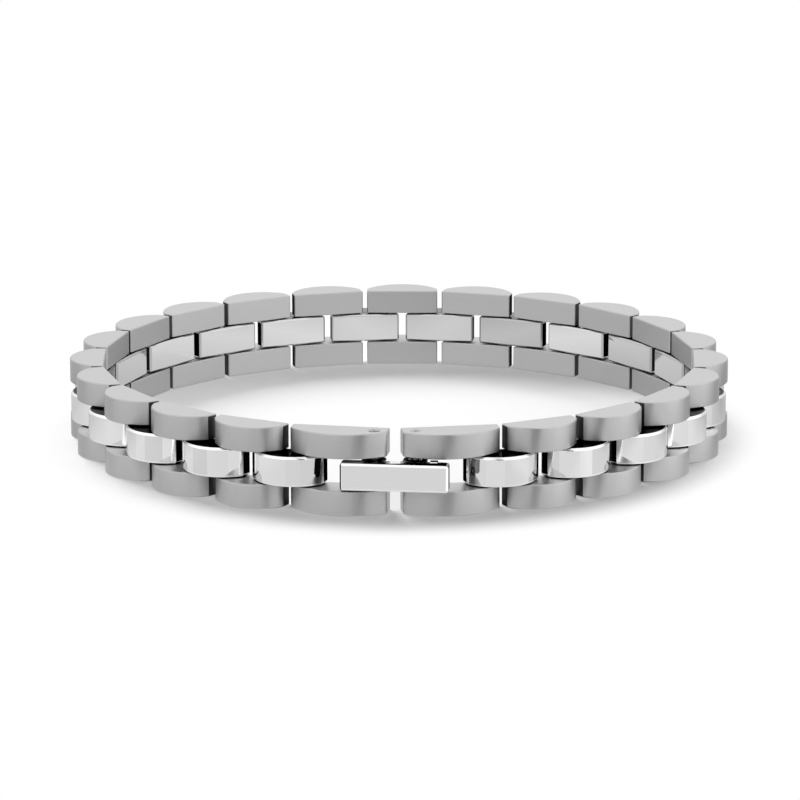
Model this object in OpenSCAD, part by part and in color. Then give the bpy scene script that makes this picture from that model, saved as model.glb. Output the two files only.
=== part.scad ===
// Link watch bracelet, closed, lying on its edge.
// Three rows of D-shaped links: satin outer blocks below and above, and a mirror
// polished centre row that sits half a pitch along. Cross pins join the rows. At
// the front a latch bar turns on the left end link and a spring bar locks it in
// the right end link. Seen from the front, -Y, left is -X.

/* [Band] */
// Width of the band on the wrist, which is its height here
band_w = 9.0; // [8:0.5:14]
// Number of outer links between the two end links
outer_count = 21; // [15:2:23]
// Running gap between the centre row and each outer row
row_gap = 0.13; // [0.08:0.01:0.3]

/* [Links] */
// Height of an outer block, measured across the band
outer_h = 2.72; // [2.4:0.02:3.2]
// Thickness of a link from its flat inside to its crown
link_t = 3.95; // [3.4:0.05:5]
// Height of a link's straight end faces, below the crown's arc
end_rise = 1.35; // [0.8:0.05:1.9]
// Distance between the two pins of an outer link
outer_span = 4.66; // [4.2:0.02:6]
// Distance between the two pins of a centre link
centre_span = 4.66; // [4.2:0.02:6]
// Gap between two outer blocks in a row, with the band straight
outer_gap = 0.89; // [0.8:0.01:1.4]
// Gap between two centre links, with the band straight
centre_gap = 1.12; // [1:0.01:1.6]
// Chamfer on the edges of a satin outer block
outer_edge = 0.1; // [0.05:0.01:0.25]
// Chamfer on the edges of a polished centre link
centre_edge = 0.2; // [0.05:0.01:0.3]

/* [Pins] */
// Diameter of a hinge pin
pin_d = 1.0; // [0.7:0.05:1.2]
// Distance of the pins from the flat inside of the links
pin_depth = 1.5; // [1.2:0.05:1.9]
// Depth of the blind hole that a hinge pin is pressed into
pin_seat = 2.1; // [1.4:0.05:2.3]
// Radial clearance of a pin in a hole that turns on it
running_fit = 0.03; // [0.02:0.01:0.06]
// Radial clearance of a pin in the hole that holds it fast
press_fit = 0.01; // [0.01:0.005:0.02]

/* [End links] */
// Distance from the clasp's pin to the hinge pin of an end link
end_span = 7.25; // [6.8:0.05:9]
// Length of an end link past the clasp's pin
end_overhang = 1.42; // [1.3:0.02:1.8]
// Shift of an end link's crown towards the clasp
crown_shift = 0.3; // [0:0.05:0.8]
// Distance between the pivot pin and the spring bar
clasp_span = 4.4; // [4.2:0.05:6]
// Diameter of the pivot pin
pivot_d = 1.1; // [0.8:0.05:1.3]
// Depth of the countersinks at the ends of the clasp's two pins
sink_depth = 0.16; // [0.08:0.02:0.3]
// Distance of the pivot pin's ends inside the blocks' outer faces
pivot_inset = 0.06; // [0.02:0.02:0.2]
// Chamfer at the pivot pin's ends
pivot_edge = 0.22; // [0.1:0.02:0.3]

/* [Latch bar] */
// Length of the latch bar
bar_len = 11.6; // [11:0.1:12.6]
// Thickness of the latch bar
bar_t = 1.75; // [1.3:0.05:2]
// Gap between the latch bar and an outer row, with the bar in the middle
bar_gap = 0.3; // [0.2:0.02:0.5]
// How far the bar lies below the middle by its play
bar_drop = 0.1; // [0:0.02:0.12]
// Angle by which the bar's right end stands out
bar_tilt = 5.9; // [0:0.1:8]
// Length of the bar to the left of the pivot pin
bar_tail = 3.45; // [2.6:0.05:3.8]
// Distance from the pivot pin to the bar's front face
bar_face = 2.45; // [2.2:0.05:2.8]
// Bevel around the bar's front face
bar_bevel = 0.2; // [0.1:0.02:0.24]
// Radius of the bar's corners
bar_corner = 0.3; // [0.3:0.05:0.8]
// Diameter of the barrels behind the bar
knuckle_d = 2.6; // [2.3:0.1:3]
// Width and thickness of the lug behind the bar's right end
lug_w = 0.8; // [0.5:0.05:1]
// How far the lug stands out above and below the bar
lug_rise = 0.1; // [0.04:0.02:0.14]

/* [Spring bar] */
// Outside diameter of the spring bar's tube
tube_d = 1.5; // [1.3:0.05:1.7]
// Wall of the spring bar's tube
tube_wall = 0.18; // [0.14:0.01:0.22]
// Depth of the tube below the latch bar's edges
tube_inset = 0.4; // [0.2:0.05:0.6]
// Diameter of the spring bar's two tips
tip_d = 0.8; // [0.6:0.05:0.85]
// Length of a tip inside an end block
tip_reach = 2.1; // [1:0.1:2.3]
// Diameter of the spring's wire
wire_d = 0.14; // [0.1:0.02:0.18]
// Clearance between the spring and the inside of its tube
coil_gap = 0.06; // [0.03:0.01:0.1]
// Turns of the spring inside the tube
coil_turns = 4.5; // [3:0.5:6]

/* [Hidden] */
$fn = 64;

slot_h = band_w - 2 * outer_h;
upper_z = band_w - outer_h;
centre_h = slot_h - 2 * row_gap;
bar_h = slot_h - 2 * bar_gap;
pitch = outer_span + centre_span;
outer_len = pitch - outer_gap;
centre_len = pitch - centre_gap;
pin_len = slot_h + 2 * pin_seat;
seat_slack = 0.05;

// The ring: hinge points on one circle, each link a chord of it
function chord_angle(chord, r) = 2 * asin(chord / (2 * r));
function turn(r) =
    outer_count * chord_angle(outer_span, r)
    + (outer_count + 1) * chord_angle(centre_span, r)
    + 2 * chord_angle(end_span, r) + chord_angle(clasp_span, r);
function closing_radius(low, high, steps) =
    let (mid = (low + high) / 2)
    steps == 0 ? mid
    : turn(mid) > 360 ? closing_radius(mid, high, steps - 1)
    : closing_radius(low, mid, steps - 1);
function apothem(chord) = sqrt(ring_r * ring_r - chord * chord / 4);

chord_sum = outer_count * outer_span + (outer_count + 1) * centre_span
    + 2 * end_span + clasp_span;
round_r = chord_sum / (2 * PI);
ring_r = closing_radius(round_r, 1.2 * round_r, 40);
outer_angle = chord_angle(outer_span, ring_r);
centre_angle = chord_angle(centre_span, ring_r);
end_angle = chord_angle(end_span, ring_r);
clasp_angle = chord_angle(clasp_span, ring_r);

// Places along the ring, in degrees from the clasp round to the left
end_at = (clasp_angle + end_angle) / 2;
first_at = clasp_angle / 2 + end_angle;
function outer_at(k) = first_at + k * centre_angle + (k - 0.5) * outer_angle;
function centre_at(k) = first_at + (k - 0.5) * centre_angle + (k - 1) * outer_angle;

// The bar's right front corner and the back crown reach furthest along Y
bar_reach = bar_face * cos(bar_tilt) + (bar_len - bar_tail - bar_bevel) * sin(bar_tilt);
front_reach = max(apothem(clasp_span) + bar_reach, apothem(end_span) + link_t - pin_depth);
back_reach = apothem(outer_span) + link_t - pin_depth;
ring_y = (front_reach - back_reach) / 2;

// The right end hole, seen from the pivot pin along the latch bar
spring_x = clasp_span * cos(bar_tilt);
spring_y = clasp_span * sin(bar_tilt);
tube_h = bar_h - 2 * tube_inset;
tube_bore = tube_d - 2 * tube_wall;
collar_h = 0.25;
collar_gap = 0.05;
lip_h = 0.2;
spring_gap = 0.02;
nose = 0.15;
// How far a cutting tool runs past the faces that it goes through
past = 1;

satin = [0.66, 0.67, 0.68];
polished = [0.84, 0.85, 0.86];
steel = [0.55, 0.56, 0.58];

function two_digits(k) = k < 10 ? str("0", k) : str(k);
function outer_name(k) = str("outer_link_", two_digits(k));
function centre_name(k) = str("centre_link_", two_digits(k));

// Puts a link, drawn at its hinge chord with the crown towards +Y, on the ring
module on_ring(angle, chord) {
    translate([0, ring_y, 0])
        rotate([0, 0, 180 - angle])
            translate([0, apothem(chord), 0])
                children();
}

// The right end link is the left one mirrored
module at_left_end() {
    on_ring(end_at, end_span) children();
}

module at_right_end() {
    on_ring(360 - end_at, end_span) mirror([1, 0, 0]) children();
}

// Latch parts are drawn with the pivot pin at the origin and the bar along +X
module at_latch() {
    translate([-clasp_span / 2, ring_y - apothem(clasp_span), outer_h + bar_gap - bar_drop])
        rotate([0, 0, -bar_tilt])
            children();
}

module chamfered_outline(a, b, edge) {
    polygon([
        [-a / 2 + edge, 0], [a / 2 - edge, 0], [a / 2, edge], [a / 2, b - edge],
        [a / 2 - edge, b], [-a / 2 + edge, b], [-a / 2, b - edge], [-a / 2, edge]
    ]);
}

// A block with a flat inside at y = 0, straight ends and an arc over them
module d_block(len, h, edge, shift = 0) {
    drop = link_t - end_rise;
    far = len / 2 + shift;
    crown_r = (far * far + drop * drop) / (2 * drop);
    intersection() {
        translate([-shift, link_t - crown_r, 0])
            rotate_extrude()
                polygon([
                    [0, 0], [crown_r - edge, 0], [crown_r, edge],
                    [crown_r, h - edge], [crown_r - edge, h], [0, h]
                ]);
        linear_extrude(h)
            chamfered_outline(len, 2 * link_t, edge);
        translate([0, link_t, 0])
            rotate([90, 0, 0])
                linear_extrude(link_t)
                    chamfered_outline(len, h, edge);
        translate([-len / 2, link_t, 0])
            rotate([90, 0, 90])
                linear_extrude(len)
                    chamfered_outline(2 * link_t, h, edge);
    }
}

module hinge_pin() {
    translate([0, 0, outer_h - pin_seat + seat_slack])
        cylinder(d = pin_d, h = pin_len - 2 * seat_slack);
}

// The blind holes of both outer blocks on one pin's line
module pin_holes() {
    translate([0, 0, outer_h - pin_seat])
        cylinder(d = pin_d + 2 * press_fit, h = pin_len);
}

// An outer link: two blocks held apart by the two pins pressed into them
module outer_link(k) {
    on_ring(outer_at(k), outer_span) {
        color(satin)
            for (z = [0, upper_z])
                difference() {
                    translate([0, -pin_depth, z])
                        d_block(outer_len, outer_h, outer_edge);
                    for (side = [-1, 1])
                        translate([side * outer_span / 2, 0, 0])
                            pin_holes();
                }
        color(steel)
            for (side = [-1, 1])
                translate([side * outer_span / 2, 0, 0])
                    hinge_pin();
    }
}

module centre_link(k) {
    color(polished)
        on_ring(centre_at(k), centre_span)
            difference() {
                translate([0, -pin_depth, outer_h + row_gap])
                    d_block(centre_len, centre_h, centre_edge);
                for (side = [-1, 1])
                    translate([side * centre_span / 2, 0, 0])
                        cylinder(d = pin_d + 2 * running_fit, h = band_w);
            }
}

// A block of an end link, drawn with the clasp at -X and the band at +X
module end_block(z, clasp_hole_d) {
    len = end_span + end_overhang + (outer_len - outer_span) / 2;
    outside = z == 0 ? 0 : band_w;
    inwards = z == 0 ? 0 : 180;
    difference() {
        translate([(len - end_span) / 2 - end_overhang, -pin_depth, z])
            d_block(len, outer_h, outer_edge, crown_shift);
        translate([end_span / 2, 0, 0])
            pin_holes();
        translate([-end_span / 2, 0, z - past])
            cylinder(d = clasp_hole_d, h = outer_h + 2 * past);
        translate([-end_span / 2, 0, outside])
            rotate([inwards, 0, 0])
                cylinder(d1 = clasp_hole_d + 2 * sink_depth, d2 = clasp_hole_d, h = sink_depth);
    }
}

module end_left_lower() {
    color(satin) at_left_end() end_block(0, pivot_d + 2 * press_fit);
}

module end_left_upper() {
    color(satin) at_left_end() end_block(upper_z, pivot_d + 2 * press_fit);
}

module end_left_pin() {
    color(steel) at_left_end() translate([end_span / 2, 0, 0]) hinge_pin();
}

// The pivot pin goes through both blocks and ends just inside their faces
module pivot_pin() {
    len = band_w - 2 * pivot_inset;
    r = pivot_d / 2;
    color(steel)
        at_left_end()
            translate([-end_span / 2, 0, pivot_inset])
                rotate_extrude()
                    polygon([
                        [0, 0], [r - pivot_edge, 0], [r, pivot_edge],
                        [r, len - pivot_edge], [r - pivot_edge, len], [0, len]
                    ]);
}

module end_right_lower() {
    color(satin) at_right_end() end_block(0, tip_d + 2 * running_fit);
}

module end_right_upper() {
    color(satin) at_right_end() end_block(upper_z, tip_d + 2 * running_fit);
}

module end_right_pin() {
    color(steel) at_right_end() translate([end_span / 2, 0, 0]) hinge_pin();
}

// The bar's plate: rounded corners and a bevel round the front face
module bar_plate() {
    hull()
        for (x = [bar_corner - bar_tail, bar_len - bar_tail - bar_corner])
            for (z = [bar_corner, bar_h - bar_corner])
                translate([x, bar_t - bar_face, z])
                    rotate([90, 0, 0]) {
                        cylinder(r = bar_corner, h = bar_t - bar_bevel, $fn = 32);
                        cylinder(r = bar_corner - bar_bevel, h = bar_t, $fn = 32);
                    }
}

// A barrel behind the plate, carried by a web from the middle of the plate
module knuckle(x, y) {
    translate([x, y, 0])
        cylinder(d = knuckle_d, h = bar_h);
    root = bar_t / 2 - bar_face;
    translate([x - knuckle_d / 2, root, 0])
        cube([knuckle_d, y - root, bar_h]);
}

// The lug is half inside the plate, a width away from the right barrel
module latch_bar() {
    lug_x = spring_x + knuckle_d / 2 + lug_w;
    color(polished)
        at_latch()
            difference() {
                union() {
                    bar_plate();
                    knuckle(0, 0);
                    knuckle(spring_x, spring_y);
                    translate([lug_x, bar_t - bar_face, bar_h / 2])
                        cube([lug_w, lug_w, bar_h + 2 * lug_rise], center = true);
                }
                translate([0, 0, -past])
                    cylinder(d = pivot_d + 2 * running_fit, h = bar_h + 2 * past);
                translate([spring_x, spring_y, -past])
                    cylinder(d = tube_d + 2 * press_fit, h = bar_h + 2 * past);
            }
}

// A tube with a lip turned in at each end, which keeps the tips' collars in
module spring_bar_tube() {
    r = tube_d / 2;
    bore = tube_bore / 2;
    mouth = tip_d / 2 + spring_gap;
    color(steel)
        at_latch()
            translate([spring_x, spring_y, tube_inset])
                rotate_extrude()
                    polygon([
                        [mouth, 0], [r, 0], [r, tube_h], [mouth, tube_h],
                        [mouth, tube_h - lip_h], [bore, tube_h - lip_h],
                        [bore, lip_h], [mouth, lip_h]
                    ]);
}

// One tip: a collar inside the tube and a shaft into the end block
module spring_tip() {
    collar_z = tube_h / 2 - lip_h - spring_gap - collar_h;
    top_z = slot_h / 2 + tip_reach;
    collar_r = tube_bore / 2 - collar_gap;
    r = tip_d / 2;
    rotate_extrude()
        polygon([
            [0, collar_z], [collar_r, collar_z], [collar_r, collar_z + collar_h],
            [r, collar_z + collar_h], [r, top_z - nose], [r - nose, top_z], [0, top_z]
        ]);
}

module at_spring_bar() {
    at_latch() translate([spring_x, spring_y, bar_h / 2]) children();
}

module spring_bar_tips() {
    color(steel)
        at_spring_bar() {
            spring_tip();
            mirror([0, 0, 1]) spring_tip();
        }
}

// The spring between the collars, swept as a helix
module spring_bar_coil() {
    sides = 6;
    steps_a_turn = 14;
    rise = tube_h - 2 * (lip_h + spring_gap + collar_h) - 2 * spring_gap - wire_d;
    coil_r = tube_bore / 2 - wire_d / 2 - coil_gap;
    rings = round(coil_turns * steps_a_turn);
    points = [
        for (i = [0 : rings])
            let (a = 360 * i / steps_a_turn, z = rise * (i / rings - 0.5))
            for (s = [0 : sides - 1])
                let (b = 360 * s / sides, out = coil_r + wire_d / 2 * cos(b))
                [out * cos(a), out * sin(a), z + wire_d / 2 * sin(b)]
    ];
    walls = [
        for (i = [0 : rings - 1])
            for (s = [0 : sides - 1])
                let (t = (s + 1) % sides, p = i * sides)
                each [[p + s, p + sides + s, p + sides + t], [p + s, p + sides + t, p + t]]
    ];
    start_cap = [for (s = [1 : sides - 2]) [0, s, s + 1]];
    last = rings * sides;
    end_cap = [for (s = [1 : sides - 2]) [last, last + s + 1, last + s]];
    color(steel)
        at_spring_bar()
            polyhedron(points, concat(walls, start_cap, end_cap), convexity = 4);
}

end_left_lower();
end_left_upper();
end_left_pin();
pivot_pin();
for (k = [1 : outer_count])
    outer_link(k);
for (k = [1 : outer_count + 1])
    centre_link(k);
end_right_lower();
end_right_upper();
end_right_pin();
latch_bar();
spring_bar_tube();
spring_bar_tips();
spring_bar_coil();
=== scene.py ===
"""Link watch bracelet: looks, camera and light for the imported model."""
import math
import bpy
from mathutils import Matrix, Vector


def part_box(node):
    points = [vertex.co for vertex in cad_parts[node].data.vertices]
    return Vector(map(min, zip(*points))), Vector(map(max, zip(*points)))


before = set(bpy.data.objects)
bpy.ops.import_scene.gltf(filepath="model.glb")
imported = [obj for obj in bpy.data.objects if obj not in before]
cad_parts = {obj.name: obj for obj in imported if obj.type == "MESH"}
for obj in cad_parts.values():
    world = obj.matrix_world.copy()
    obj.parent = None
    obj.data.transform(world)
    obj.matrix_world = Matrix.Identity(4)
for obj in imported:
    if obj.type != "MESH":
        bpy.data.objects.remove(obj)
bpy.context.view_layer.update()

from types import SimpleNamespace

import bpy
from mathutils import Matrix, Vector

MM = 0.001

# The ring of links lies on its edge; its middle is a little behind the frame's origin
RING = Vector((0.0, 0.4063, 4.5)) * MM

# The photograph's camera, fitted to the links' corners, with angles in degrees
CAMERA_ELEVATION = 13.8
CAMERA_AZIMUTH = 0.7
CAMERA_ROLL = -0.07
CAMERA_DISTANCE = 545.0 * MM
FRAME_PIXELS = 800
FOCAL_PIXELS = 4791.0
SENSOR = 36.0
# Where the ring's middle falls in the photograph, in pixels
RING_PIXEL = (398.9, 393.5)


def direction(azimuth, elevation):
    """A unit vector: azimuth 0 points at the front, -Y, and 90 to the right, +X."""
    a, e = math.radians(azimuth), math.radians(elevation)
    return Vector((math.sin(a) * math.cos(e), -math.cos(a) * math.cos(e), math.sin(e)))


def make_camera():
    back = direction(CAMERA_AZIMUTH, CAMERA_ELEVATION)
    place = RING + back * CAMERA_DISTANCE
    right = back.cross(Vector((0, 0, -1))).normalized()
    up = back.cross(right)
    # Aims beside the ring's middle, so that it falls on its pixel without any shift
    pixel = CAMERA_DISTANCE / FOCAL_PIXELS
    middle = FRAME_PIXELS / 2
    aim = RING + right * (middle - RING_PIXEL[0]) * pixel - up * (middle - RING_PIXEL[1]) * pixel
    ahead = (aim - place).normalized()
    right = ahead.cross(Vector((0, 0, 1))).normalized()
    up = right.cross(ahead)
    turn = math.radians(CAMERA_ROLL)
    right, up = (right * math.cos(turn) + up * math.sin(turn),
                 up * math.cos(turn) - right * math.sin(turn))
    data = bpy.data.cameras.new("camera")
    data.sensor_width = SENSOR
    data.lens = FOCAL_PIXELS / FRAME_PIXELS * SENSOR
    camera = bpy.data.objects.new("camera", data)
    bpy.context.scene.collection.objects.link(camera)
    camera.matrix_world = Matrix((
        (right.x, up.x, -ahead.x, place.x),
        (right.y, up.y, -ahead.y, place.y),
        (right.z, up.z, -ahead.z, place.z),
        (0, 0, 0, 1),
    ))
    bpy.context.scene.camera = camera


class Nodes:
    """Short calls for building a node tree."""

    def __init__(self, owner):
        owner.use_nodes = True
        self.tree = owner.node_tree
        self.tree.nodes.clear()

    def add(self, kind, inputs=None, **settings):
        node = self.tree.nodes.new(kind)
        for name, value in settings.items():
            setattr(node, name, value)
        for name, value in (inputs or {}).items():
            self.put(node.inputs[name], value)
        return node

    def put(self, socket, value):
        if isinstance(value, bpy.types.NodeSocket):
            self.tree.links.new(value, socket)
        else:
            socket.default_value = value

    def vector(self, operation, *values):
        """A vector node's result: a number for LENGTH and DOT_PRODUCT, else a vector."""
        node = self.add("ShaderNodeVectorMath", operation=operation)
        for socket, value in zip(node.inputs, values):
            self.put(socket, value)
        return node.outputs["Value" if operation in ("LENGTH", "DOT_PRODUCT") else "Vector"]

    def math(self, operation, *values):
        node = self.add("ShaderNodeMath", operation=operation)
        for socket, value in zip(node.inputs, values):
            self.put(socket, value)
        return node.outputs[0]

    def times(self, product, *others):
        """The product of any number of values."""
        for other in others:
            product = self.math("MULTIPLY", product, other)
        return product

    def one_minus(self, value):
        return self.math("SUBTRACT", 1.0, value)

    def mix(self, share, a, b):
        return self.add("ShaderNodeMix", {"Factor": share, "A": a, "B": b}).outputs["Result"]

    def ramp(self, value, stops, ease=False):
        """A colour ramp from (position, grey) stops."""
        node = self.add("ShaderNodeValToRGB", {"Fac": value})
        node.color_ramp.interpolation = "EASE" if ease else "LINEAR"
        points = node.color_ramp.elements
        while len(points) < len(stops):
            points.new(0.5)
        for point, (position, grey) in zip(points, stops):
            point.position = position
            point.color = (grey, grey, grey, 1)
        return node.outputs[0]

    def map_range(self, value, low, high, start=0.0, end=1.0, smooth=False):
        """start up to low, end from high on, and a passage from one to the other between."""
        return self.add("ShaderNodeMapRange", {
            "Value": value, "From Min": low, "From Max": high, "To Min": start, "To Max": end,
        }, interpolation_type="SMOOTHSTEP" if smooth else "LINEAR").outputs["Result"]

    def parts(self, vector):
        """A vector's X, Y and Z."""
        return self.add("ShaderNodeSeparateXYZ", {"Vector": vector}).outputs

    def joined(self, x, y, z=0.0):
        return self.add("ShaderNodeCombineXYZ", {"X": x, "Y": y, "Z": z}).outputs[0]

    def grey(self, value):
        """A colour whose three parts are this value."""
        parts = {"Red": value, "Green": value, "Blue": value}
        return self.add("ShaderNodeCombineColor", parts).outputs[0]

    def glow(self, strength):
        return self.add("ShaderNodeEmission", {"Strength": strength}).outputs[0]

    def mix_shaders(self, share, a, b):
        return self.add("ShaderNodeMixShader", {0: share, 1: a, 2: b}).outputs[0]

    def surface(self, shader):
        self.add("ShaderNodeOutputMaterial", {"Surface": shader})

    def seen(self):
        """1 where the camera, a reflection or a refraction looks, and 0 for light on its way."""
        path = self.add("ShaderNodeLightPath").outputs
        both = self.math("MAXIMUM", path["Is Camera Ray"], path["Is Glossy Ray"])
        return self.math("MAXIMUM", both, path["Is Transmission Ray"])


# What the metal sees round it, by azimuth in degrees from the front: a soft left wall, a
# bright box at the right and dimmer corners behind
STUDIO_WALLS = [
    (-180, 0.95), (-120, 0.8), (-104, 0.85), (-86, 1.15), (-24, 1.2), (-16, 0.85), (-6, 0.85),
    (6, 1.3), (34, 1.45), (52, 1.75), (64, 1.95), (80, 1.95), (92, 1.7), (108, 1.2),
    (120, 0.65), (140, 0.65), (160, 0.95), (180, 0.95),
]
# The ground's painted glow as the metal sees it in reflections, by azimuth, outside the ring and
# inside it
FLOOR_SEEN = [
    (-180, 0.7), (-95, 0.6), (-60, 0.8), (-25, 0.72), (25, 0.72), (40, 0.84), (66, 0.8),
    (95, 0.5), (180, 0.7),
]
INSIDE_SEEN = [(-180, 0.88), (-135, 0.72), (135, 0.72), (180, 0.88)]
# The highest level that a list by azimuth may hold
TOP_LEVEL = 2.0
# The ceiling's level. The walls pass into it between these sines of the elevation
CEILING = 1.12
CEILING_FROM = 0.25
CEILING_FULL = 0.6
# The world's level for light that isn't mirrored
SKY_FILL = 0.22


def round_share(n, way):
    """0 to 1 by azimuth, from straight behind round by the left, the front and the right."""
    angle = n.math("ARCTAN2", way["X"], n.times(way["Y"], -1.0))
    return n.math("ADD", n.math("DIVIDE", angle, math.tau), 0.5)


def by_azimuth(n, way, levels):
    """The level that a list of (azimuth, level) gives in this direction."""
    stops = [((azimuth + 180) / 360, level / TOP_LEVEL) for azimuth, level in levels]
    return n.times(n.ramp(round_share(n, way), stops), TOP_LEVEL)


def make_world():
    """Plain white to the camera, the studio to the metal and an even fill to all else."""
    world = bpy.data.worlds.new("studio")
    bpy.context.scene.world = world
    n = Nodes(world)
    way = n.parts(n.add("ShaderNodeTexCoord").outputs["Generated"])
    height = n.ramp(way["Z"], [(CEILING_FROM, 0), (CEILING_FULL, 1)], ease=True)
    studio = n.mix(height, by_azimuth(n, way, STUDIO_WALLS), CEILING)
    path = n.add("ShaderNodeLightPath").outputs
    plain = n.math("MAXIMUM", path["Is Camera Ray"], path["Is Transmission Ray"])
    level = n.mix(plain, n.mix(path["Is Glossy Ray"], SKY_FILL, studio), 1.0)
    background = n.add("ShaderNodeBackground", {"Color": (1, 1, 1, 1), "Strength": level})
    n.add("ShaderNodeOutputWorld", {"Surface": background.outputs[0]})


# The floor's side in m, its reflectance, and a glow that keeps the shadow from going black
FLOOR_SIZE = 4.0
FLOOR_ALBEDO = 0.8
FLOOR_GLOW = 0.24
# The shadow fades to plain white between these distances from the ring's middle
FADE_START = 37.7 * MM
FADE_END = 45.5 * MM
# The shadow reaches less far out at the sides than in front
SIDE_STRETCH = 1.1
# Within this distance the metal sees the ground inside the ring
INSIDE_RADIUS = 35.5 * MM
# A painted shadow on the floor: how much deeper it makes the closed band's shadow than the lamps
# alone do, by azimuth, and between which distances that begins
PAINTED_SHADOW = [
    (-180, 0.02), (-100, 0.0), (-14, 0.02), (-2, 0.13), (22, 0.08), (48, 0.24), (70, 0.18),
    (95, 0.1), (120, 0.03), (140, 0.17), (160, 0.1), (180, 0.02),
]
DEPTH_FROM = 21 * MM
DEPTH_FULL = 28 * MM


def make_floor():
    """A white floor that keeps the soft shadow near the band, deepened by a painted shadow, and is
    plain white further out.
    """
    bpy.ops.mesh.primitive_plane_add(size=FLOOR_SIZE, location=(RING.x, RING.y, 0))
    floor = bpy.context.object
    floor.name = "floor"
    material = bpy.data.materials.new("floor")
    n = Nodes(material)
    at = n.add("ShaderNodeTexCoord").outputs["Object"]
    way = n.parts(at)
    far = n.vector("LENGTH", at)
    seen = n.seen()
    # A painted shadow, deeper by azimuth, darkens the floor's colour and glow near the band
    deep = n.map_range(far, DEPTH_FROM, DEPTH_FULL, smooth=True)
    painted_shadow_factor = n.one_minus(n.times(deep, by_azimuth(n, way, PAINTED_SHADOW)))
    lit = n.add("ShaderNodeBsdfDiffuse", {"Color": n.grey(n.times(painted_shadow_factor, FLOOR_ALBEDO))})
    glow = n.glow(n.times(seen, painted_shadow_factor, FLOOR_GLOW))
    near = n.add("ShaderNodeAddShader", {0: lit.outputs[0], 1: glow}).outputs[0]
    oval = n.vector("MULTIPLY", at, (SIDE_STRETCH, 1, 1))
    fade = n.map_range(n.vector("LENGTH", oval), FADE_START, FADE_END, smooth=True)
    shown = n.mix_shaders(n.times(fade, seen), near, n.glow(1.0))
    # In reflections the floor is a painted glow, set as light as the studio that stands round it
    outside = n.math("GREATER_THAN", far, INSIDE_RADIUS)
    level = n.mix(outside, by_azimuth(n, way, INSIDE_SEEN), by_azimuth(n, way, FLOOR_SEEN))
    glossy = n.add("ShaderNodeLightPath").outputs["Is Glossy Ray"]
    n.surface(n.mix_shaders(glossy, shown, n.glow(level)))
    floor.data.materials.append(material)


# The card's place in front of the ring and its width and height, in mm
CARD_AT = (23.0, -127.6)
CARD_SIZE = (34.0, 160.0)


def make_card():
    """A narrow black card in front of the band, which only the metal sees."""
    width, height = CARD_SIZE
    bpy.ops.mesh.primitive_plane_add(size=1, rotation=(math.pi / 2, 0, 0),
                                     location=Vector((*CARD_AT, height / 2)) * MM)
    card = bpy.context.object
    card.name = "card"
    card.scale = (width * MM, height * MM, 1)
    material = bpy.data.materials.new("card")
    n = Nodes(material)
    n.surface(n.glow(0.0))
    card.data.materials.append(material)
    card.visible_camera = False
    card.visible_diffuse = False
    card.visible_transmission = False
    card.visible_shadow = False


# Both softboxes stand behind the band: their distance and their sides, in m
LAMP_DISTANCE = 0.55
LAMP_SIZE = (0.32, 0.3)


def make_lamp(name, azimuth, elevation, level):
    """A softbox that points at the band. level is how bright its face looks."""
    width, height = LAMP_SIZE
    data = bpy.data.lights.new(name, "AREA")
    data.shape = "RECTANGLE"
    data.size = width
    data.size_y = height
    data.energy = level * math.pi * width * height
    lamp = bpy.data.objects.new(name, data)
    way = direction(azimuth, elevation)
    lamp.location = RING + way * LAMP_DISTANCE
    lamp.rotation_mode = "QUATERNION"
    lamp.rotation_quaternion = way.to_track_quat("Z", "Y")
    lamp.visible_camera = False
    lamp.visible_glossy = False
    bpy.context.scene.collection.objects.link(lamp)


def make_lamps():
    make_lamp("key_left", azimuth=-147, elevation=37, level=9.9)
    make_lamp("key_right", azimuth=144, elevation=32, level=3.6)


# How much a face looks one way, as a cosine: bevels lean that way and flat faces are square
LEANS_FROM = 0.2
LEANS = 0.3
NEAR_SQUARE = 0.9
SQUARE_FROM = 0.93
SQUARE = 0.97
TOP_STOPS = [(NEAR_SQUARE, 0), (SQUARE, 1)]
# Over the first it looks outwards from the band, and under the second inwards
OUTWARDS = 0.1
INWARDS = -0.1
# An end is steep enough for an outline from this cosine on, and fully so this much further
OUTER_SOFT = 0.03
INNER_STEEP = 0.4
INNER_SOFT = 0.1

# An edge is where a normal rounded over this reach leaves the face's own. It begins and is
# full where 1 less the cosine between the two is this much
EDGE_REACH = 0.1 * MM
EDGE_FROM = 0.004
EDGE_FULL = 0.06
EDGE_SAMPLES = 4
# On upright edges the rounded normal's Z is under this
UPRIGHT = 0.15


def middle_of(node):
    """The middle of a node's box, where a pin has its axis."""
    low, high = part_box(node)
    return (low + high) / 2


def band_place(n):
    """Where a point lies on the band, and how its face looks: up, out and along the band."""
    at = n.add("ShaderNodeTexCoord").outputs
    middle = n.vector("SUBTRACT", at["Object"], tuple(RING))
    place = n.parts(middle)
    along = n.vector("NORMALIZE", n.joined(n.times(place["Y"], -1.0), place["X"]))
    out = n.vector("NORMALIZE", n.vector("MULTIPLY", middle, (1, 1, 0)))
    radius = n.vector("LENGTH", middle)
    normal = at["Normal"]
    lengthwise = n.vector("DOT_PRODUCT", normal, along)
    return SimpleNamespace(
        at=at["Object"], place=place, along=along, radius=radius,
        at_z=n.parts(at["Object"])["Z"],
        angle=n.math("ARCTAN2", place["Y"], place["X"]),
        behind=n.math("DIVIDE", place["Y"], radius),
        up=n.parts(normal)["Z"],
        outward=n.vector("DOT_PRODUCT", normal, out),
        endward=n.math("ABSOLUTE", lengthwise),
        claspward=n.times(n.math("SIGN", place["X"]), n.times(lengthwise, -1.0)),
    )


def sloping(n, face):
    """1 on bevels that lean up or down."""
    stops = [(LEANS_FROM, 0), (LEANS, 1), (SQUARE_FROM, 1), (SQUARE, 0)]
    return n.ramp(n.math("ABSOLUTE", face.up), stops)


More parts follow.
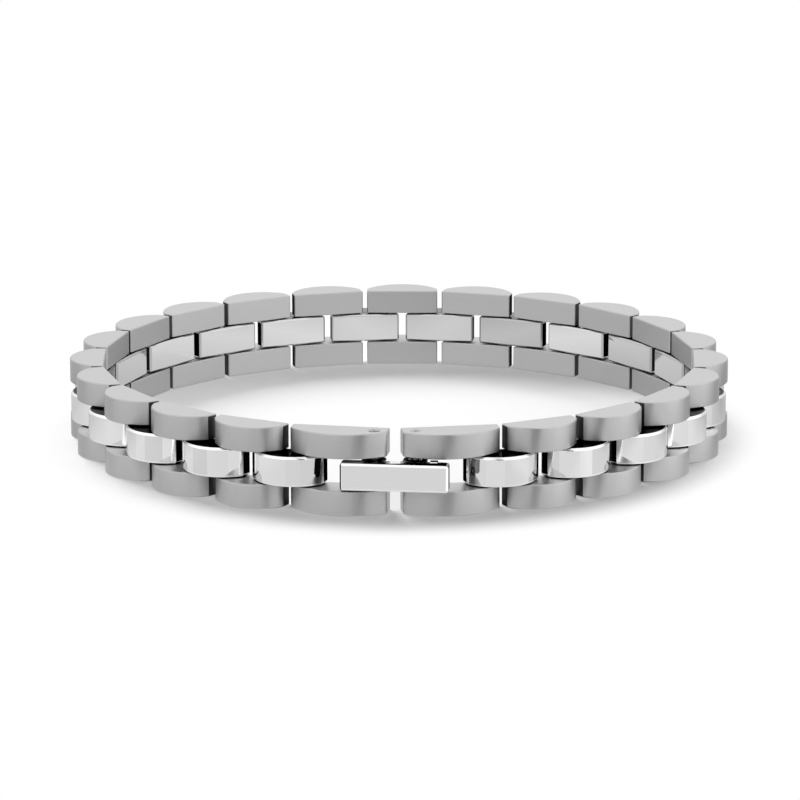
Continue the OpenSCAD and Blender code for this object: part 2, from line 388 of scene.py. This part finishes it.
def outline(n, face, side, steep, soft):
    """1 on bevels and on ends that are steep and not square, where side is 1."""
    stops = [(steep, 0), (steep + soft, 1), (NEAR_SQUARE, 1), (SQUARE_FROM, 0)]
    return n.times(n.math("MAXIMUM", sloping(n, face), n.ramp(face.endward, stops)), side)


def outer_outline(n, face, steep):
    """1 on the outer bevels and where a crown is as steep as this share."""
    outer = n.math("GREATER_THAN", face.outward, OUTWARDS)
    return outline(n, face, outer, steep, OUTER_SOFT)


def inner_outline(n, face):
    """1 on the bevels round the flat inside."""
    inner = n.math("LESS_THAN", face.outward, INWARDS)
    return outline(n, face, inner, INNER_STEEP, INNER_SOFT)


def worn_and_shaded_edge(n, reach=EDGE_REACH):
    """1 close to an edge, where a rounded normal leaves the face's own, and 1 if it's upright."""
    rounded = n.add("ShaderNodeBevel", {"Radius": reach}, samples=EDGE_SAMPLES).outputs[0]
    own = n.add("ShaderNodeNewGeometry").outputs["Normal"]
    apart = n.one_minus(n.vector("DOT_PRODUCT", rounded, own))
    slope = n.math("ABSOLUTE", n.parts(rounded)["Z"])
    return n.ramp(apart, [(EDGE_FROM, 0), (EDGE_FULL, 1)]), n.math("LESS_THAN", slope, UPRIGHT)


def near_pin(n, face, node, reach):
    """1 within a reach of a pin's axis, and 1 on the front side of the axis."""
    offset = n.vector("MULTIPLY", n.vector("SUBTRACT", face.at, tuple(middle_of(node))), (1, 1, 0))
    near = n.math("LESS_THAN", n.vector("LENGTH", offset), reach)
    return near, n.math("LESS_THAN", n.parts(offset)["Y"], 0.0)


# How far the painted dark of a gap reaches, the open shares at which it is darkest and clear, and
# the light that is left where it is darkest
GAP_REACH = 1.0 * MM
GAP_BLACK = 0.2
GAP_CLEAR = 0.55
GAP_LEAST = 0.02
GAP_SAMPLES = 6
# The heights between which an outer face's foot ends, and how far outwards a face must look
FOOT_LOW = 0.3 * MM
FOOT_HIGH = 0.9 * MM
FOOT_STOPS = [(0.3, 0), (0.6, 1)]
# Towards the back gaps lighten to this much, over this share of the ring's radius
BACK_LIGHT = 0.85
BACK_REACH = 0.5
# Half the width at the clasp where the end faces stay light
CLASP_HALF = 2.0 * MM


def painted_gap_light(n, face, dark_ends, dark_clasp_ends, open_from):
    """Painted shade in the gaps, as the share of light on the colour: little between the links in
    front and more at the back.

    The ends darken by dark_ends, those towards the clasp by dark_clasp_ends. open_from is how
    far back, as a share of the ring's radius, the gaps begin to lighten.
    """
    open_share = n.add("ShaderNodeAmbientOcclusion", {"Distance": GAP_REACH}, samples=GAP_SAMPLES)
    light = n.ramp(open_share.outputs["AO"], [(GAP_BLACK, GAP_LEAST), (GAP_CLEAR, 1)])
    # The painted shade is kept off the foot of its outer faces, next to the ground under the band
    foot = n.times(n.map_range(face.at_z, FOOT_LOW, FOOT_HIGH, 1.0, 0.0),
                   n.ramp(face.outward, FOOT_STOPS))
    back = n.map_range(face.behind, open_from, open_from + BACK_REACH, 0.0, BACK_LIGHT)
    light = n.math("MAXIMUM", n.math("MAXIMUM", light, foot), back)
    to_clasp = [(SQUARE_FROM, 0), (SQUARE, dark_clasp_ends - dark_ends)]
    ends = n.math("ADD", n.ramp(face.endward, [(SQUARE_FROM, 0), (SQUARE, dark_ends)]),
                  n.ramp(face.claspward, to_clasp))
    beside = n.math("GREATER_THAN", n.math("ABSOLUTE", face.place["X"]), CLASP_HALF)
    return n.times(light, n.one_minus(n.times(ends, beside)))


# Fine lines along the band, how dense they are to a radian and to a metre across, and a cloud
LINES_ROUND = 8.0
LINES_ACROSS = 9000.0
LINES_DETAIL = 3.0
LINES_ROUGH = 0.6
LINES_DEEP = 0.02 * MM
CLOUDS = 900.0
CLOUD_DETAIL = 2.0
# How much both change the grey and the roughness, and the values that they start from
LINES_GREY = 0.06
GREY_BASE = 0.97
LINES_UNEVEN = 0.12
CLOUD_UNEVEN = 0.08
UNEVEN_BASE = 0.9
# A quarter turn, which lays the stretched highlight across the lines
ACROSS = 0.25
# An edge's normal is lifted to the first height, and made level if it is under the second
LIFT_TO = 0.5
LIFT_ABOVE = -0.2


def lifted(n, normal, lift):
    """Turns edges up by their share in lift, or level where they face down."""
    parts = n.parts(normal)
    upper = n.math("GREATER_THAN", parts["Z"], LIFT_ABOVE)
    height = n.mix(lift, parts["Z"], n.times(upper, LIFT_TO))
    return n.vector("NORMALIZE", n.joined(parts["X"], parts["Y"], height))


def finish_steel(n, face, metal, shade, roughness, grain, anisotropy=0.0, lift=None):
    """Joins a grey and a roughness with fine lines along the band.

    shade is painted shade on the grey and the specular tint, 0 where no light gets in, also at a
    flat angle. lift turns edges up.
    """
    lines_at = n.joined(n.times(face.angle, LINES_ROUND), n.times(face.radius, LINES_ACROSS),
                        n.times(face.place["Z"], LINES_ACROSS))
    lines = n.add("ShaderNodeTexNoise", {
        "Vector": lines_at, "Scale": 1.0, "Detail": LINES_DETAIL, "Roughness": LINES_ROUGH,
    }).outputs["Fac"]
    cloud = n.add("ShaderNodeTexNoise", {
        "Vector": face.at, "Scale": CLOUDS, "Detail": CLOUD_DETAIL,
    }).outputs["Fac"]
    metal = n.times(metal, n.math("MULTIPLY_ADD", lines, LINES_GREY, GREY_BASE), shade)
    uneven = n.math("ADD", n.math("MULTIPLY_ADD", lines, LINES_UNEVEN, UNEVEN_BASE),
                    n.times(cloud, CLOUD_UNEVEN))
    normal = n.add("ShaderNodeNewGeometry").outputs["Normal"]
    if lift:
        normal = lifted(n, normal, lift)
    bump = n.add("ShaderNodeBump", {
        "Height": lines, "Strength": grain, "Distance": LINES_DEEP, "Normal": normal,
    }).outputs[0]
    tangent = n.add("ShaderNodeVectorTransform", {"Vector": face.along}, vector_type="VECTOR",
                    convert_from="OBJECT", convert_to="WORLD").outputs[0]
    n.surface(n.add("ShaderNodeBsdfPrincipled", {
        "Base Color": n.grey(metal), "Specular Tint": n.grey(shade), "Metallic": 1.0,
        "Roughness": n.times(roughness, uneven),
        "Anisotropic": anisotropy, "Anisotropic Rotation": ACROSS,
        "Tangent": tangent, "Normal": bump,
    }).outputs[0])


# The satin steel's reflectance and roughness, on the faces, the tops and the edges. The tops'
# lighter grey is painted light
SATIN = 0.55
SATIN_TOP = 0.62
SATIN_EDGE = 0.62
SATIN_ROUGH = 0.45
SATIN_EDGE_ROUGH = 0.35
SATIN_GRAIN = 0.3
# How much the brushing stretches highlights, except on the tops
BRUSHED = 0.88
# How much its end faces darken, and from how far back its gaps lighten
SATIN_ENDS = 0.4
SATIN_CLASP_ENDS = 0.8
SATIN_OPEN_FROM = -0.7
# Painted shade and light at the clasp's tops: the pivot pin's sink and the spring bar's hole
SINK_REACH = 1.0 * MM
SINK_DARK = 0.95
HOLE_REACH = 0.46 * MM
HOLE_RIM = 0.62 * MM
HOLE_PAINTED_LIGHT = 0.7
RIM_DARK = 0.45
# How dark the painted shade line down the clasp's corners is, how far it reaches and which faces
# have it
CORNER_DARK = 0.65
CORNER_REACH = 0.22 * MM
CORNER_OUTWARD = -0.3


def painted_clasp_shade(n, face, top):
    """How dark the painted shade at the clasp is, and 1 on the wall of the spring bar's hole,
    which is painted light.
    """
    # Painted shade on the front of the pivot pin's sink. The spring bar's hole is painted light,
    # in a painted dark rim
    pivot, front = near_pin(n, face, "pivot_pin", SINK_REACH)
    sink = n.times(pivot, front, sloping(n, face), SINK_DARK)
    hole = near_pin(n, face, "spring_bar_tips", HOLE_REACH)[0]
    rim, front = near_pin(n, face, "spring_bar_tips", HOLE_RIM)
    rim = n.times(rim, front, n.one_minus(hole), top, RIM_DARK)
    # A painted shade line down the clasp's corners, between crown and end face
    at_clasp = n.math("LESS_THAN", n.math("ABSOLUTE", face.place["X"]), CLASP_HALF)
    edge, upright = worn_and_shaded_edge(n, CORNER_REACH)
    outer = n.math("GREATER_THAN", face.outward, CORNER_OUTWARD)
    corner = n.times(at_clasp, edge, upright, outer, CORNER_DARK)
    dark = n.math("MAXIMUM", n.math("MAXIMUM", sink, corner), rim)
    return dark, n.times(hole, n.one_minus(top))


def satin_steel():
    """Brushed along the band, a little brighter on worn edges, painted lighter on the band's edges
    and painted darker in its gaps.
    """
    material = bpy.data.materials.new("satin_steel")
    n = Nodes(material)
    face = band_place(n)
    top = n.ramp(face.up, TOP_STOPS)
    edge = worn_and_shaded_edge(n)[0]
    dark, wall = painted_clasp_shade(n, face, top)
    # The tops' lighter grey is painted light; the edges' is wear
    metal = n.mix(edge, n.mix(top, SATIN, SATIN_TOP), SATIN_EDGE)
    # The hole's wall is painted light, free of the gap shade
    metal = n.mix(wall, metal, HOLE_PAINTED_LIGHT)
    light = painted_gap_light(n, face, SATIN_ENDS, SATIN_CLASP_ENDS, SATIN_OPEN_FROM)
    shade = n.times(n.mix(wall, light, 1.0), n.one_minus(dark))
    anisotropy = n.math("MULTIPLY_ADD", top, -BRUSHED, BRUSHED)
    roughness = n.mix(edge, SATIN_ROUGH, SATIN_EDGE_ROUGH)
    finish_steel(n, face, metal, shade, roughness, SATIN_GRAIN, anisotropy)
    return material


# The polished steel of the centre links and the latch bar
POLISHED = 0.91
# A painted highlight on rounded edges: their grey share is set over 1
PAINTED_EDGE_HIGHLIGHT = 1.5
POLISHED_ROUGH = 0.06
POLISHED_EDGE_ROUGH = 0.3
POLISHED_GRAIN = 0.02
# From this share of the ring's radius on, the gaps beside polished and plain steel lighten
OPEN_FROM = 0.1
# How steep a centre link's crown is where its outline begins, and how dark its end faces are
CROWN_STEEP = 0.78
LINK_ENDS = 0.985
# Painted reflection bands on the polish: how many to a radian of the ring, the dimmest and how
# much they differ
BANDS_A_RADIAN = 20.0
BAND_LEAST = 0.84
BAND_RANGE = 0.3
# The insides: the dimmest link's, how much the links differ and how much painted shade darkens the
# bevels
INSIDE_LEAST = 0.62
INSIDE_RANGE = 0.25
INSIDE_BEVELS = 0.2
# How much light is painted on the links' tops: at the sides, how much more at the back, and its
# limits
TOP_SIDES = 0.55
TOP_BACK = 0.45
TOP_LEAST = 0.2
TOP_MOST = 0.6


def mirror_steel():
    """Mirror polish with painted highlights on the outer edges, faint painted reflection bands and
    painted shade, each link's inside its own.
    """
    material = bpy.data.materials.new("polished_steel")
    n = Nodes(material)
    face = band_place(n)
    edge = outer_outline(n, face, CROWN_STEEP)
    # Painted reflection bands round the ring
    cells = n.add("ShaderNodeTexVoronoi", {"W": face.angle, "Scale": BANDS_A_RADIAN},
                  voronoi_dimensions="1D").outputs["Color"]
    painted_reflection_bands = n.math("MULTIPLY_ADD", cells, BAND_RANGE, BAND_LEAST)
    own = n.add("ShaderNodeObjectInfo").outputs["Random"]
    own = n.math("MULTIPLY_ADD", own, INSIDE_RANGE, INSIDE_LEAST)
    polish = n.mix(n.math("LESS_THAN", face.outward, 0.0), painted_reflection_bands, own)
    # The outer edges get a painted highlight
    metal = n.mix(edge, n.times(polish, POLISHED), PAINTED_EDGE_HIGHLIGHT)
    # Painted shade on the tops, which lie in the gap between the rows, dark in front
    painted_top_light = n.math("MULTIPLY_ADD", face.behind, TOP_BACK, TOP_SIDES)
    painted_top_light = n.math("MINIMUM", n.math("MAXIMUM", painted_top_light, TOP_LEAST), TOP_MOST)
    shade = n.times(painted_gap_light(n, face, LINK_ENDS, LINK_ENDS, OPEN_FROM),
                    n.mix(n.ramp(face.up, TOP_STOPS), 1.0, painted_top_light),
                    n.math("MULTIPLY_ADD", inner_outline(n, face), -INSIDE_BEVELS, 1.0))
    shade = n.math("MAXIMUM", shade, edge)
    roughness = n.mix(edge, POLISHED_ROUGH, POLISHED_EDGE_ROUGH)
    finish_steel(n, face, metal, shade, roughness, POLISHED_GRAIN, lift=edge)
    return material


# The latch bar, which is turned about the pivot pin's axis by this many degrees
BAR_TILT = 5.9
# How far in front of that axis its face and its arms begin, and how far left its end lies
BAR_FRONT = 2.45 * MM
BAR_ARMS = 0.72 * MM
BAR_TAIL = 3.45 * MM
BAR_LENGTH = 11.6 * MM
BAR_HEIGHT = 2.96 * MM
# The width of its painted bright rim, and how far outwards a face must look to have one
BAR_RIM = 0.22 * MM
BAR_OUTWARD = 0.3
# How steep its outline begins, and how much its ends darken
BAR_STEEP = 0.5
BAR_ENDS = 0.8
# How dark the painted shade is on the barrels and the arms behind it
BARREL_RADIUS = 1.3 * MM
BARREL_DARK = 0.7
ARM_DARK = 0.35
# A painted dark wedge on its top, shade standing for a gap behind its face, starts this far to the
# left of the axis and widens by this much to the right. The painted dark line down its left end is
# this wide
STRIPE_START = 2.0 * MM
STRIPE_SLOPE = 0.16
END_LINE = 0.17 * MM
LINE_DARK = 0.98


def bar_painted_highlight_and_shade(n, face):
    """The latch bar's painted bright rim, and its painted shade: black on a wedge along the front
    of its top and on a line down its left end, and greyer on the barrels and arms behind it."""
    own = n.vector("SUBTRACT", face.at, tuple(middle_of("pivot_pin")))
    own = n.parts(n.add("ShaderNodeVectorRotate", {"Vector": own, "Angle": math.radians(BAR_TILT)},
                        rotation_type="Z_AXIS").outputs[0])
    top = n.math("GREATER_THAN", face.up, SQUARE)
    half_length = BAR_LENGTH / 2
    across = n.math("ABSOLUTE", n.math("ADD", own["X"], BAR_TAIL - half_length))
    height = n.math("ABSOLUTE", n.math("SUBTRACT", face.at_z, middle_of("latch_bar").z))
    rim = n.math("MAXIMUM", n.math("GREATER_THAN", across, half_length - BAR_RIM),
                 n.math("GREATER_THAN", height, BAR_HEIGHT / 2 - BAR_RIM))
    rim = n.times(rim, n.math("GREATER_THAN", face.outward, BAR_OUTWARD))
    width = n.times(n.math("ADD", own["X"], STRIPE_START), STRIPE_SLOPE)
    stripe = n.times(n.math("LESS_THAN", own["Y"], n.math("SUBTRACT", width, BAR_FRONT)), top)
    near = [near_pin(n, face, node, BARREL_RADIUS)[0] for node in ("pivot_pin", "spring_bar_tips")]
    barrels = n.times(n.math("MAXIMUM", *near), BARREL_DARK)
    arms = n.times(n.math("GREATER_THAN", own["Y"], -BAR_ARMS), ARM_DARK)
    behind = n.times(n.math("MAXIMUM", barrels, arms), top)
    left = n.math("LESS_THAN", own["X"], END_LINE - BAR_TAIL)
    black = n.times(n.math("MAXIMUM", stripe, left), LINE_DARK)
    return rim, n.math("MAXIMUM", black, behind)


def bar_steel():
    """The latch bar: even polish inside a painted bright rim, and painted shade on the barrels."""
    material = bpy.data.materials.new("bar_steel")
    n = Nodes(material)
    face = band_place(n)
    rim, dark = bar_painted_highlight_and_shade(n, face)
    edge = n.math("MAXIMUM", outer_outline(n, face, BAR_STEEP), rim)
    shade = n.math("MAXIMUM", painted_gap_light(n, face, BAR_ENDS, BAR_ENDS, OPEN_FROM), edge)
    roughness = n.mix(edge, POLISHED_ROUGH, POLISHED_EDGE_ROUGH)
    # The rim gets a painted highlight and the bar its painted shade
    finish_steel(n, face, n.mix(edge, POLISHED, PAINTED_EDGE_HIGHLIGHT), n.times(shade, n.one_minus(dark)),
                 roughness, POLISHED_GRAIN, lift=edge)
    return material


# The plain steel of the pins and the spring
PIN = 0.50
PIN_EDGE = 0.6
PIN_GRAIN = 0.1
PIN_ROUGH = 0.25
SPRING_ROUGH = 0.3
# How dark the painted shade is on the pins' rims and on the front of the pivot pin's rim, and the
# painted dark mark at its centre
PIN_RIM_DARK = 0.2
PIVOT_FRONT_DARK = 0.9
CENTRE_REACH = 0.17 * MM
CENTRE_DARK = 0.8


def plain_steel(name, roughness):
    """Turned steel of the pins and the spring, with painted shade on the rims and a painted dark
    centre mark on the pivot.
    """
    material = bpy.data.materials.new(name)
    n = Nodes(material)
    face = band_place(n)
    metal = n.mix(worn_and_shaded_edge(n)[0], PIN, PIN_EDGE)
    front = n.times(*near_pin(n, face, "pivot_pin", SINK_REACH))
    rim = n.times(sloping(n, face), n.mix(front, PIN_RIM_DARK, PIVOT_FRONT_DARK))
    centre = n.times(near_pin(n, face, "pivot_pin", CENTRE_REACH)[0], CENTRE_DARK)
    dark = n.math("MAXIMUM", rim, centre)
    shade = n.times(painted_gap_light(n, face, 0.0, 0.0, OPEN_FROM), n.one_minus(dark))
    finish_steel(n, face, metal, shade, roughness, PIN_GRAIN)
    return material


# How wide the rounded edges of each steel are. The spring's are left sharp
EDGE_WIDTH = {
    "satin_steel": 0.05 * MM, "polished_steel": 0.08 * MM, "pin_steel": 0.03 * MM,
    "spring_steel": 0.0,
}
EDGE_SEGMENTS = 3
# Edges that turn by less than this many degrees belong to a curve and stay as they are
EDGE_ANGLE = 28
# Corners closer than this are the same corner
WELD = 0.001 * MM


def round_edges(piece, width):
    """Joins double corners, so that faces share their edges, and rounds these."""
    weld = piece.modifiers.new("weld", "WELD")
    weld.merge_threshold = WELD
    bevel = piece.modifiers.new("edges", "BEVEL")
    bevel.width = width
    bevel.segments = EDGE_SEGMENTS
    bevel.limit_method = "ANGLE"
    bevel.angle_limit = math.radians(EDGE_ANGLE)
    bevel.harden_normals = True


def dress(materials, bar_material):
    """Gives each CAD node its steel and rounds its edges."""
    for name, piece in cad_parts.items():
        for slot in piece.material_slots:
            kind = slot.material.name.split(".")[0]
            slot.material = bar_material if name == "latch_bar" else materials[kind]
        if EDGE_WIDTH[kind]:
            round_edges(piece, EDGE_WIDTH[kind])


make_camera()
make_world()
make_floor()
make_card()
make_lamps()
dress({
    "satin_steel": satin_steel(),
    "polished_steel": mirror_steel(),
    "pin_steel": plain_steel("pin_steel", PIN_ROUGH),
    "spring_steel": plain_steel("spring_steel", SPRING_ROUGH),
}, bar_steel())

bpy.context.scene.view_settings.view_transform = "Standard"
